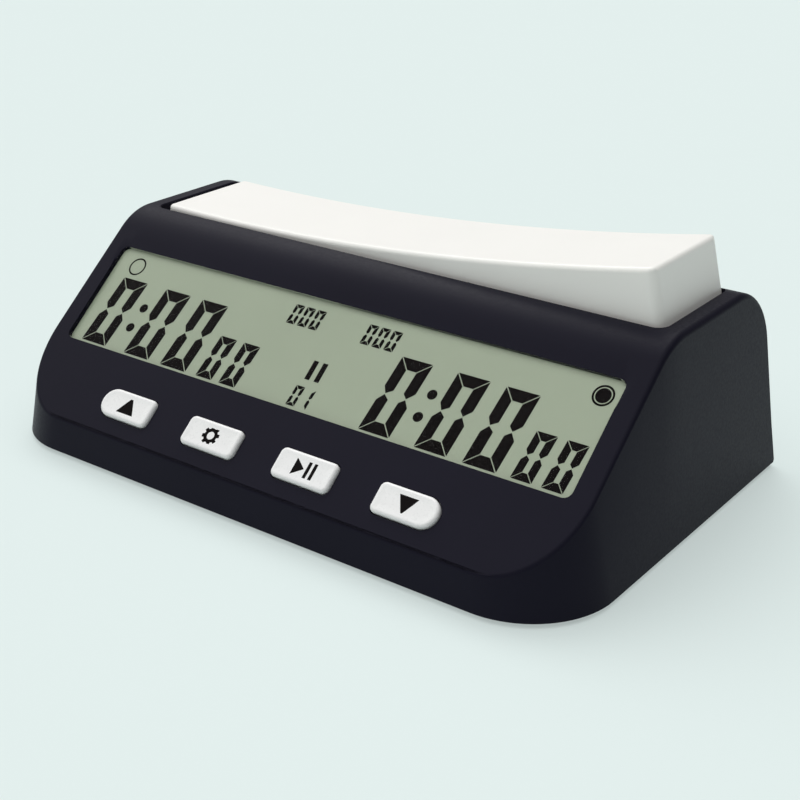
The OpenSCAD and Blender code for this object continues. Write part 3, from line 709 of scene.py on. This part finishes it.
MATERIALS = {
    "case_shell": finish_material("case_shell", linear(26, 25, 37), 0.4, mottle=0.05, depth=0.000012,
                                  Specular_IOR_Level=0.06),
    "base_shell": finish_material("base_shell", linear(23, 22, 32), 0.55, grain=0.0005, depth=0.00003,
                                  Specular_IOR_Level=0.15),
    "rocker_white": finish_material("rocker_white", linear(249, 248, 243), 0.36, mottle=0.012,
                                    depth=0.000005),
    "key_white": finish_material("key_white", linear(244, 244, 243), 0.3, mottle=0.012,
                                 depth=0.000004),
    "display_grey": finish_material("display_grey", linear(169, 181, 157), 0.5, mottle=0.02,
                                    depth=0.000002),
    "frame_white": finish_material("frame_white", linear(215, 215, 210), 0.5),
    "board_green": finish_material("board_green", linear(24, 92, 50), 0.35, mottle=0.12),
    "steel": finish_material("steel", (0.6, 0.6, 0.62), 0.32, metallic=1.0, stretch=(1, 1, 6)),
    "spring_steel": finish_material("spring_steel", (0.7, 0.7, 0.7), 0.2, metallic=1.0),
    "bracket_grey": finish_material("bracket_grey", linear(85, 86, 90), 0.55),
    "rubber_black": finish_material("rubber_black", linear(38, 38, 40), 0.8, depth=0.00004, mottle=0.1),
    "pad_grey": finish_material("pad_grey", linear(120, 120, 122), 0.7),
    "mat_grey": finish_material("mat_grey", linear(178, 178, 174), 0.7),
    "epoxy_black": finish_material("epoxy_black", linear(18, 18, 20), 0.18),
    "part_black": finish_material("part_black", linear(20, 17, 16), 0.5, mottle=0.15),
    "mark_black": finish_material("mark_black", linear(14, 10, 10), 0.6, mottle=0.15,
                                  Specular_IOR_Level=0.05),
    "capacitor_sleeve": finish_material("capacitor_sleeve", linear(40, 60, 120), 0.3),
    "plunger_red": finish_material("plunger_red", linear(165, 40, 34), 0.5),
    "zebra_pink": finish_material("zebra_pink", linear(188, 140, 146), 0.7, stretch=(8, 1, 1)),
    "cell_blue": finish_material("cell_blue", linear(52, 92, 150), 0.25, stretch=(1, 4, 4)),
    "wire_red": finish_material("wire_red", linear(190, 30, 30), 0.4),
    "wire_black": finish_material("wire_black", linear(24, 24, 24), 0.4),
    "wire_yellow": finish_material("wire_yellow", linear(200, 180, 50), 0.4),
    "ribbon_grey": finish_material("ribbon_grey", linear(160, 160, 165), 0.45, stretch=(1, 10, 1)),
    "lens_clear": lens_material(),
}


def paint(obj, name):
    """Gives obj one material."""
    obj.data.materials.clear()
    obj.data.materials.append(MATERIALS[name])


# ---------------------------------------------------------------------------
# Build
# ---------------------------------------------------------------------------
slots = {p["node"]: p["material_slot"] for p in frame["record"]["subparts"]}
for node, obj in frame["nodes"].items():
    paint(obj, slots[node])

paint(case_pieces(), "case_shell")
paint(rocker_shell(), "rocker_white")
for i in range(4):
    paint(key_cap(i), "key_white")
    paint(key_icon(i), "mark_black")
paint(display_pieces(), "mark_black")

# ---------------------------------------------------------------------------
# Floor, light and camera
# ---------------------------------------------------------------------------
FLOOR = linear(225, 237, 235)
# in metres: half the floor's width, and a hair below the feet so that the two don't share a plane
FLOOR_HALF, FLOOR_Z = 6, -0.00005
floor = solid("floor", [(x * FLOOR_HALF, y * FLOOR_HALF, FLOOR_Z)
                        for x, y in ((-1, -1), (1, -1), (1, 1), (-1, 1))], [(0, 1, 2, 3)])
floor.data.materials.append(finish_material(
    "floor", plain(FLOOR, 0.5), 0.9, grain=0.002, depth=0, mottle=0.002, spread=0.02,
    Specular_IOR_Level=0.0, Emission_Color=FLOOR, Emission_Strength=0.5))

scene = bpy.context.scene
scene.view_settings.view_transform = "Standard"
world = bpy.data.worlds.new("studio")
scene.world = world
world.use_nodes = True
world.node_tree.nodes["Background"].inputs["Color"].default_value = (1, 1, 1, 1)
# a little brighter from the left than from the right
direction = world.node_tree.nodes.new("ShaderNodeTexCoord")
split = world.node_tree.nodes.new("ShaderNodeSeparateXYZ")
fade = world.node_tree.nodes.new("ShaderNodeMapRange")
fade.inputs["From Min"].default_value = -1
fade.inputs["To Min"].default_value = 0.36
fade.inputs["To Max"].default_value = 0.04
world.node_tree.links.new(direction.outputs["Generated"], split.inputs["Vector"])
world.node_tree.links.new(split.outputs["X"], fade.inputs["Value"])
world.node_tree.links.new(fade.outputs["Result"], world.node_tree.nodes["Background"].inputs["Strength"])


def sun(name, energy, angle, rotation):
    """Soft light from far away; a wide angle makes its shadows softer."""
    light = bpy.data.lights.new(name, "SUN")
    light.energy = energy
    light.angle = math.radians(angle)
    obj = bpy.data.objects.new(name, light)
    obj.rotation_euler = [math.radians(a) for a in rotation]
    scene.collection.objects.link(obj)


sun("key_light", 2.1, 105, (1, -15, 0))
sun("back_light", 0.8, 40, (-27, -28, 0))

camera_data = bpy.data.cameras.new("camera")
camera_data.sensor_width = 36
camera_data.lens = 65.41
camera_data.clip_start = 0.01
camera = bpy.data.objects.new("camera", camera_data)
camera.location = (0.18599, -0.23955, 0.14814)
camera.rotation_euler = (math.radians(65.842), 0, math.radians(36.796))
scene.collection.objects.link(camera)
scene.camera = camera
